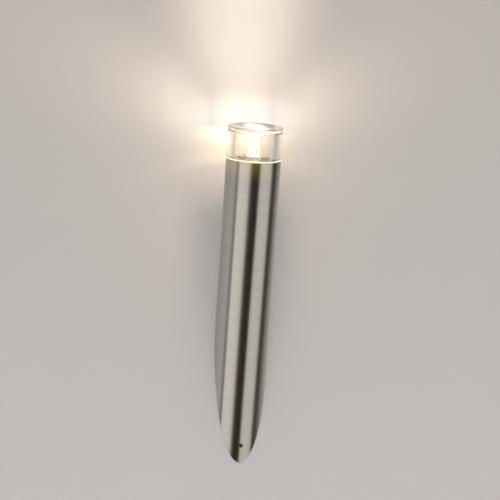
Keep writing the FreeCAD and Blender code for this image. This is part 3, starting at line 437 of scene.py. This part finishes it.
def makeTube():
    lean = radians(stance["lean"])
    tip = -tube["radius"] / sin(lean) * cos(lean)  # height of the front's low end
    hole = tip + tube["holeRise"]
    cell = 2 * pi * tube["radius"] / tube["steps"]
    window = tube["windowCells"] * cell  # half the square that is cut out for the hole
    levels = (tube["low"], hole - window, hole + window, tube["top"])
    bm = bmesh.new()
    bmesh.ops.create_grid(bm, x_segments=tube["steps"], y_segments=3, size=1.0)
    rows = sorted({round(vert.co.y, 4) for vert in bm.verts})
    for vert in bm.verts:
        vert.co.x *= pi * tube["radius"]
        vert.co.y = levels[rows.index(round(vert.co.y, 4))]
    middle = [face for face in bm.faces if abs(face.calc_center_median().x) < window
              and abs(face.calc_center_median().y - hole) < window]
    around = {edge for face in middle for edge in face.edges
              if any(other not in middle for other in edge.link_faces)}
    upright = [edge for edge in around if abs(edge.verts[0].co.x - edge.verts[1].co.x) < 0.01]
    bmesh.ops.delete(bm, geom=middle, context="FACES")
    bmesh.ops.subdivide_edges(bm, edges=upright, cuts=2 * tube["windowCells"] - 1)
    frameEdges = [edge for edge in bm.edges if edge.is_boundary
                  and all(max(abs(vert.co.x), abs(vert.co.y - hole)) < window + tube["slack"]
                          for vert in edge.verts)]
    bore = bmesh.ops.create_circle(bm, segments=tube["holeSteps"], radius=tube["holeRadius"])
    bmesh.ops.translate(bm, verts=bore["verts"], vec=(0, hole, 0))
    rim = list({edge for vert in bore["verts"] for edge in vert.link_edges})
    bmesh.ops.triangle_fill(bm, edges=frameEdges + rim, use_beauty=True, normal=(0, 0, 1))
    for vert in bm.verts:
        turn = vert.co.x / tube["radius"]
        vert.co = Vector((sin(turn) * tube["radius"], -cos(turn) * tube["radius"],
                          vert.co.y)) * mm
    bmesh.ops.remove_doubles(bm, verts=bm.verts, dist=1e-6)
    bmesh.ops.recalc_face_normals(bm, faces=bm.faces)
    bmesh.ops.solidify(bm, geom=bm.faces[:], thickness=tube["wall"] * mm)
    bmesh.ops.recalc_face_normals(bm, faces=bm.faces)
    brink = (tube["top"] - tube["slack"]) * mm
    roundSharp(bm, tube["rim"], tube["rimSegments"],
               picked=lambda edge: all(vert.co.z > brink for vert in edge.verts))
    cut = bmesh.ops.bisect_plane(bm, geom=bm.verts[:] + bm.edges[:] + bm.faces[:], dist=1e-7,
                                 plane_co=(0, 0, 0), plane_no=(0, cos(lean), -sin(lean)),
                                 clear_outer=True)
    ends = [part for part in cut["geom_cut"] if isinstance(part, bmesh.types.BMEdge)]
    bmesh.ops.bridge_loops(bm, edges=ends)
    addPiece("leaningTube", bm, tubePlace, "housing", "tube_steel", ["tube_housing"])


makeTube()


# The lens: a thick glass cup, open downwards, on a plain spigot. Its bore narrows to the
# spigot's on a thin ledge, between seat and shoulder.

lens = {"radius": 30.0, "seat": 1.25, "top": 35.0, "chamfer": 0.5, "bore": 21.6,
        "roof": 5.0, "boreRound": 1.2, "shoulder": 1.6, "spigotBore": 17.5, "spigot": 21.4,
        "depth": 8.0, "steps": 192, "sharp": 20.0}


def makeLens():
    ceiling = lens["top"] - lens["roof"]
    curve = [(lens["bore"] - lens["boreRound"] * (1 - sin(turn)),
              ceiling - lens["boreRound"] * (1 - cos(turn)))
             for turn in (radians(15 * step) for step in range(7))]  # a quarter round
    outline = [(0, ceiling)] + curve
    outline += [(lens["bore"], lens["shoulder"]), (lens["spigotBore"], lens["shoulder"]),
                (lens["spigotBore"], -lens["depth"]), (lens["spigot"], -lens["depth"]),
                (lens["spigot"], lens["seat"]), (lens["radius"], lens["seat"]),
                (lens["radius"], lens["top"] - lens["chamfer"]),
                (lens["radius"] - lens["chamfer"], lens["top"]), (0, lens["top"])]
    bm = turned(outline, lens["steps"])
    piece = addPiece("lensCup", bm, headPlace, "lens", "lens_glass", ["lens"],
                     lens["sharp"])
    piece.visible_shadow = False


makeLens()
print("tube and lens ready")

gasket = {"radius": 30.0, "bore": 25.4, "thick": 1.2, "edge": 0.25, "edgeSegments": 3,
          "steps": 192, "sharp": 35.0}


def makeGasket():
    bm = turned([(gasket["bore"], 0), (gasket["radius"], 0), (gasket["radius"], gasket["thick"]),
                 (gasket["bore"], gasket["thick"])], gasket["steps"], ringed=True)
    roundSharp(bm, gasket["edge"], gasket["edgeSegments"])
    addPiece("sealRing", bm, headPlace, "housing", "clear_silicone", ["lens_gasket"],
             gasket["sharp"])


makeGasket()


# Everything else keeps the construction's own form, with smooth curves and broken edges.

plainPieces = {  # for each node its piece, body, slot and the round of its edges
    "top_collar": ("turnedCollar", "housing", "collar_aluminium", 0.15),
    "reflector": ("reflectorDish", "housing", "dish_aluminium", 0.0),
    "lens_ring": ("lensRing", "lens", "ring_aluminium", 0.12),
    "lens_oring": ("sealOring", "lens_seal", "black_rubber", 0.0),
    "lampholder": ("lampHolder", "housing", "holder_ceramic", 0.2),
    "lampholder_contacts": ("holderContacts", "housing", "contact_metal", 0.05),
    "lampholder_screws": ("holderScrews", "housing", "screw_steel", 0.1),
    "bulb_glass": ("capsuleGlass", "housing", "capsule_glass", 0.0),
    "bulb_filament": ("filamentCoil", "housing", "filament_wire", 0.0),
    "bulb_supports": ("leadInWires", "housing", "filament_support", 0.0),
    "bulb_pins": ("capsulePins", "housing", "pin_metal", 0.0),
    "wall_bracket": ("wallBracket", "housing", "bracket_steel", 0.2),
    "lock_screw": ("lockScrew", "lock_screw", "lock_screw_steel", 0.08),
    "cable_grommet": ("cableGrommet", "housing", "grommet_rubber", 0.3),
    "terminal_block": ("terminalBlock", "housing", "block_nylon", 0.25),
    "terminal_sleeves": ("terminalSleeves", "housing", "sleeve_brass", 0.08),
    "terminal_screws": ("clampScrews", "housing", "screw_steel", 0.08),
    "terminal_block_screws": ("blockScrews", "housing", "screw_steel", 0.08),
    "earth_stud": ("earthStud", "housing", "screw_steel", 0.1),
    "earth_lug": ("earthLug", "housing", "lug_metal", 0.1),
    "earth_nut": ("earthNut", "housing", "screw_steel", 0.2),
    "earth_washer": ("earthWasher", "housing", "screw_steel", 0.1),
    "live_wire": ("liveWire", "housing", "brown_insulation", 0.0),
    "neutral_wire": ("neutralWire", "housing", "blue_insulation", 0.0),
    "earth_wire": ("earthWire", "housing", "green_yellow_insulation", 0.0),
    "lead_sleeving": ("leadSleeving", "housing", "glass_fibre_sleeving", 0.0),
}


dressing = {"merge": 2e-6, "flat": 0.5, "edgeSegments": 2, "sharp": 35.0}


def dressNode(node, name, body, slotName, edge):
    bm = bmesh.new()
    bm.from_mesh(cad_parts[node].data)
    bmesh.ops.remove_doubles(bm, verts=bm.verts, dist=dressing["merge"])
    bmesh.ops.dissolve_limit(bm, angle_limit=radians(dressing["flat"]), verts=bm.verts,
                             edges=bm.edges)
    if edge:
        roundSharp(bm, edge, dressing["edgeSegments"])
    return addPiece(name, bm, Matrix(), body, slotName, [node], dressing["sharp"])


for node, (name, body, slotName, edge) in plainPieces.items():
    piece = dressNode(node, name, body, slotName, edge)
    if node in ("bulb_glass", "bulb_filament"):
        piece.visible_shadow = False
print("pieces ready:", len(plainPieces) + 3)


# The studio: a pale wall behind the light, with the lamp's light painted on it, a floor well
# below it, and soft panels in the world that the steel mirrors.

lamp = {"height": 12.0, "colour": (1.0, 0.68, 0.44), "limit": 0.51,
        # beside the beam, a painted ring of light leaves the lens at so many degrees from its axis,
        # and fades over so many degrees inside the ring and outside it
        "ring": 63.0, "ringLight": 16.0, "fadeInside": 10.0, "fadeOutside": 15.0,
        # a little goes back, from this angle on and most straight back
        "back": 85.0, "backLight": 7.0, "angleStep": 6,
        # that light is less to the right, less high up beside the beam, and less beside the tube as a
        # painted shadow of the tube
        "side": (-60.0, 60.0), "rightShare": 0.74, "notch": (35.0, 81.0),
        "notchStart": (14.0, 28.0), "shade": (44.0, 84.0), "shadeStart": (-75.0, -12.0)}
# the painted beam of light straight up: where its middle lies, how wide it is over its rise, and
# how its light starts, grows and gains, since close to the lens the lamp itself lights the wall
beam = {"middle": -0.7, "rise": (50.0, 150.0), "width": (26.0, 40.8), "start": (10.0, 26.0),
        "peak": 1.4, "grow": (22.0, 111.0), "near": 0.1, "top": (80.0, 200.0), "topGain": 2.2}
# a painted white patch of light behind the lens, an oval
patch = {"colour": (0.12, 0.19, 0.23), "height": 38.0, "across": 92.0, "up": 37.0,
         "span": (0.2, 1.0)}
wall = {"colour": (0.715, 0.692, 0.685), "topColour": (0.66, 0.625, 0.60),
        "rise": (-150.0, 380.0), "gap": 0.6, "half": 1600.0, "rough": 0.95, "specular": 0.1,
        "grit": 900.0, "gritRelief": 0.1, "gritDepth": 0.2}
floor = {"colour": (0.74, 0.73, 0.72), "drop": 460.0, "half": 2000.0, "rough": 0.9}


def seenThrough(tree, surface):
    # the wall shows from its front only, and brushed metal mirrors the soft panels instead
    behind = put(tree, "NewGeometry").outputs["Backfacing"]
    path = put(tree, "LightPath").outputs
    crossed = reckon(tree, "GREATER_THAN", path["Transparent Depth"], 0.5)
    blurred = reckon(tree, "SUBTRACT", path["Is Glossy Ray"], path["Is Singular Ray"])
    hidden = reckon(tree, "MAXIMUM", reckon(tree, "MAXIMUM", behind, crossed), blurred)
    clear = put(tree, "BsdfTransparent").outputs[0]
    return put(tree, "MixShader", None, in0=hidden, in1=surface, in2=clear).outputs[0]


def ringAndBack(angle):
    fade = lamp["fadeInside"] if angle < lamp["ring"] else lamp["fadeOutside"]
    ring = lamp["ringLight"] * exp(-0.5 * ((angle - lamp["ring"]) / fade) ** 2)
    back = lamp["backLight"] * max(0.0, (angle - lamp["back"]) / (180.0 - lamp["back"]))
    return ring + back


def sideLight(tree, offset, ray, away):
    # the painted light that leaves the lens sideways and down, with a painted shadow beside the tube
    far = put(tree, "VectorMath", {"operation": "LENGTH"}, in0=ray).outputs["Value"]
    along = put(tree, "VectorMath", {"operation": "DOT_PRODUCT"}, in0=ray,
                in1=tuple(tubeAxis)).outputs["Value"]
    turn = reckon(tree, "ARCCOSINE", reckon(tree, "DIVIDE", along, far))
    most = lamp["ringLight"]
    stops = [(angle / 180.0, (min(ringAndBack(angle) / most, 1.0),) * 3)
             for angle in range(0, 181, lamp["angleStep"])]
    lobes = ramp(tree, reckon(tree, "DIVIDE", turn, pi), stops)
    fall = reckon(tree, "DIVIDE", reckon(tree, "MULTIPLY", offset["Y"], most * mm),
                  reckon(tree, "POWER", far, 3.0))
    side = spanned(tree, offset["X"], lamp["side"], 1.0, lamp["rightShare"])
    besideBeam = spanned(tree, away, lamp["notch"], 1.0, 0.0)
    above = spanned(tree, offset["Z"], lamp["notchStart"], 0.0, 1.0)
    keptHigh = reckon(tree, "SUBTRACT", 1.0, product(tree, besideBeam, above))
    besideTube = spanned(tree, reckon(tree, "ABSOLUTE", offset["X"]), lamp["shade"], 1.0, 0.0)
    below = spanned(tree, offset["Z"], lamp["shadeStart"], 1.0, 0.0)
    keptLow = reckon(tree, "SUBTRACT", 1.0, product(tree, besideTube, below))
    return product(tree, lobes, product(tree, fall, side, product(tree, keptHigh, keptLow)))


def beamLight(tree, offset, away):
    # the painted light straight up, wider and thinner with height
    narrow, wide = (value * mm for value in beam["width"])
    width = spanned(tree, offset["Z"], beam["rise"], narrow, wide)
    slope = reckon(tree, "DIVIDE", away, width)
    bell = reckon(tree, "EXPONENT",
                  reckon(tree, "MULTIPLY", reckon(tree, "POWER", slope, 2.0), -0.5))
    thin = reckon(tree, "POWER", reckon(tree, "DIVIDE", narrow, width), 2.0)
    begun = spanned(tree, offset["Z"], beam["start"], 0.0, beam["peak"])
    grown = spanned(tree, offset["Z"], beam["grow"], beam["near"], 1.0)
    topped = spanned(tree, offset["Z"], beam["top"], 1.0, beam["topGain"])
    return product(tree, bell, thin, begun, grown, topped)


def patchLight(tree, offset):
    raised = reckon(tree, "SUBTRACT", offset["Z"], patch["height"] * mm)
    oval = put(tree, "CombineXYZ", None, Y=0.0,
               X=reckon(tree, "DIVIDE", offset["X"], patch["across"] * mm),
               Z=reckon(tree, "DIVIDE", raised, patch["up"] * mm)).outputs[0]
    out = put(tree, "VectorMath", {"operation": "LENGTH"}, in0=oval).outputs["Value"]
    return put(tree, "VectorMath", {"operation": "SCALE"}, in0=patch["colour"],
               Scale=eased(tree, out, patch["span"], 1.0, 0.0)).outputs[0]


def wallGlow(tree, spot):
    # the lamp's light on the wall, painted: the side light, the beam and the white patch
    source = headPlace @ Vector((0, 0, lamp["height"] * mm))
    ray = put(tree, "VectorMath", {"operation": "SUBTRACT"}, in0=spot,
              in1=tuple(source)).outputs[0]
    offset = put(tree, "SeparateXYZ", None, Vector=ray).outputs
    away = reckon(tree, "ABSOLUTE", reckon(tree, "SUBTRACT", offset["X"], beam["middle"] * mm))
    total = reckon(tree, "ADD", sideLight(tree, offset, ray, away),
                   beamLight(tree, offset, away))
    soft = []
    for share in lamp["colour"]:  # each colour nears the limit and never passes it
        gone = reckon(tree, "EXPONENT", reckon(tree, "MULTIPLY", total, -share / lamp["limit"]))
        soft.append(reckon(tree, "MULTIPLY", lamp["limit"], reckon(tree, "SUBTRACT", 1.0, gone)))
    glow = put(tree, "CombineXYZ", None, X=soft[0], Y=soft[1], Z=soft[2]).outputs[0]
    return put(tree, "VectorMath", {"operation": "ADD"}, in0=glow,
               in1=patchLight(tree, offset)).outputs[0]


def paintWall():
    material = bpy.data.materials.new("wallPaint")
    material.use_nodes = True
    tree = material.node_tree
    shader = tree.nodes["Principled BSDF"]
    spot = put(tree, "TexCoord").outputs["Object"]
    height = put(tree, "SeparateXYZ", None, Vector=spot).outputs["Z"]
    # the wall is painted darker towards the top: painted shade
    rise = spanned(tree, height, wall["rise"], 0.0, 1.0)
    paintAndShade = mixed(tree, rise, wall["colour"], wall["topColour"])
    bump = put(tree, "Bump", None, Height=noise(tree, spot, wall["grit"], 3.0, 0.6),
               Strength=wall["gritRelief"], Distance=wall["gritDepth"] * mm)
    tree.links.new(bump.outputs["Normal"], shader.inputs["Normal"])
    tree.links.new(paintAndShade, shader.inputs["Base Color"])
    shader.inputs["Roughness"].default_value = wall["rough"]
    shader.inputs["Specular IOR Level"].default_value = wall["specular"]
    # the lamp's light on the wall is painted in as the wall's emission
    tree.links.new(wallGlow(tree, spot), shader.inputs["Emission Color"])
    shader.inputs["Emission Strength"].default_value = 1.0
    surface = tree.nodes["Material Output"].inputs["Surface"]
    tree.links.new(seenThrough(tree, shader.outputs[0]), surface)
    return material


def stagePiece(name, bm, material):
    mesh = bpy.data.meshes.new(name)
    bm.to_mesh(mesh)
    bm.free()
    piece = bpy.data.objects.new(name, mesh)
    bpy.context.collection.objects.link(piece)
    mesh.materials.append(material)
    return piece


def makeWall():
    bm = bmesh.new()
    half = wall["half"] * mm
    bmesh.ops.create_grid(bm, x_segments=1, y_segments=1, size=half)
    bmesh.ops.rotate(bm, verts=bm.verts, cent=(0, 0, 0), matrix=Matrix.Rotation(pi / 2, 3, "X"))
    bmesh.ops.translate(bm, verts=bm.verts, vec=(0, wall["gap"] * mm, half - floor["drop"] * mm))
    stagePiece("studioWall", bm, paintWall())


def makeFloor():
    material = bpy.data.materials.new("floorPaint")
    material.use_nodes = True
    shader = material.node_tree.nodes["Principled BSDF"]
    shader.inputs["Base Color"].default_value = (*floor["colour"], 1)
    shader.inputs["Roughness"].default_value = floor["rough"]
    bm = bmesh.new()
    bmesh.ops.create_grid(bm, x_segments=1, y_segments=1, size=floor["half"] * mm)
    bmesh.ops.translate(bm, verts=bm.verts, vec=(0, 0, -floor["drop"] * mm))
    piece = stagePiece("studioFloor", bm, material)
    piece.visible_glossy = False  # the steel leans down and mirrors the soft panels instead


makeWall()
makeFloor()

panels = {
    # what the steel mirrors, by compass turn in degrees from straight ahead of the wall
    # (plus is to the right) with the light of each stretch
    "sweep": [(-180, 0.36), (-150, 0.44), (-118, 0.51), (-104, 0.45), (-97, 0.3), (-90, 0.25),
              (-82, 0.84), (-70, 0.88), (-48, 0.84), (-33, 0.72), (-24, 0.22), (-17, 0.07),
              (-8, 0.045), (6, 0.035), (13, 0.05), (20, 0.66), (26, 0.72), (36, 0.75), (60, 0.7),
              (70, 0.12), (76, 0.06), (83, 0.1), (92, 0.24), (104, 0.38), (120, 0.46),
              (180, 0.36)],
    # the tint of a full stretch and of a dim one, and the light from which it is full
    "tint": (1.0, 0.965, 0.91), "dimTint": (1.0, 0.78, 0.54), "tintFull": 0.35,
    # the stretches lean: this much turn for each rise of the mirrored line past a level
    "skew": 0.9, "skewLevel": -0.42,
    "ceiling": (1.0, 0.99, 0.98), "ceilingSpan": (0.02, 0.25), "back": (0.93, 0.93, 0.93)}


def panelColour(level):  # the dim stretches are warmer
    full = min(level / panels["tintFull"], 1.0)
    return [level * (dim + (plain - dim) * full)
            for dim, plain in zip(panels["dimTint"], panels["tint"])]


def makeWorld():
    world = bpy.data.worlds.new("studio")
    bpy.context.scene.world = world
    world.use_nodes = True
    tree = world.node_tree
    tree.nodes.clear()
    way = put(tree, "SeparateXYZ", None, Vector=put(tree, "TexCoord").outputs["Generated"]).outputs
    turn = reckon(tree, "ARCTAN2", way["X"], reckon(tree, "MULTIPLY", way["Y"], -1.0))
    lower = reckon(tree, "SUBTRACT", way["Z"], panels["skewLevel"])
    swung = reckon(tree, "SUBTRACT", turn, reckon(tree, "MULTIPLY", lower, panels["skew"]))
    share = reckon(tree, "ADD", reckon(tree, "DIVIDE", swung, 2 * pi), 0.5)
    bands = ramp(tree, share, [((angle + 180) / 360.0, panelColour(level))
                               for angle, level in panels["sweep"]])
    high = spread(tree, way["Z"], *panels["ceilingSpan"], 0.0, 1.0)
    light = mixed(tree, high, bands, panels["ceiling"])
    path = put(tree, "LightPath").outputs
    straight = reckon(tree, "MAXIMUM", path["Is Camera Ray"], path["Is Transmission Ray"])
    shown = mixed(tree, straight, light, panels["back"])
    back = put(tree, "Background", None, Color=shown, Strength=1.0)
    put(tree, "OutputWorld", None, Surface=back.outputs[0])


makeWorld()

# its place in millimetres, its turns in radians and its lens on a 36 mm wide film
camera = {"place": (-433.97, -1736.28, 89.97), "yaw": 0.2501, "pitch": 0.0100,
          "roll": 0.0091, "lens": 115.8, "film": 36.0}


def makeCamera():
    data = bpy.data.cameras.new("viewCamera")
    data.lens = camera["lens"]
    data.sensor_width = camera["film"]
    data.clip_start = 0.01
    eye = bpy.data.objects.new("viewCamera", data)
    bpy.context.collection.objects.link(eye)
    turn = Matrix.Rotation(-camera["yaw"], 4, "Z") @ Matrix.Rotation(pi / 2 + camera["pitch"], 4, "X")
    eye.matrix_world = (Matrix.Translation(Vector(camera["place"]) * mm) @ turn
                        @ Matrix.Rotation(camera["roll"], 4, "Z"))
    bpy.context.scene.camera = eye


makeCamera()
bpy.context.scene.view_settings.view_transform = "Standard"
print("studio ready")
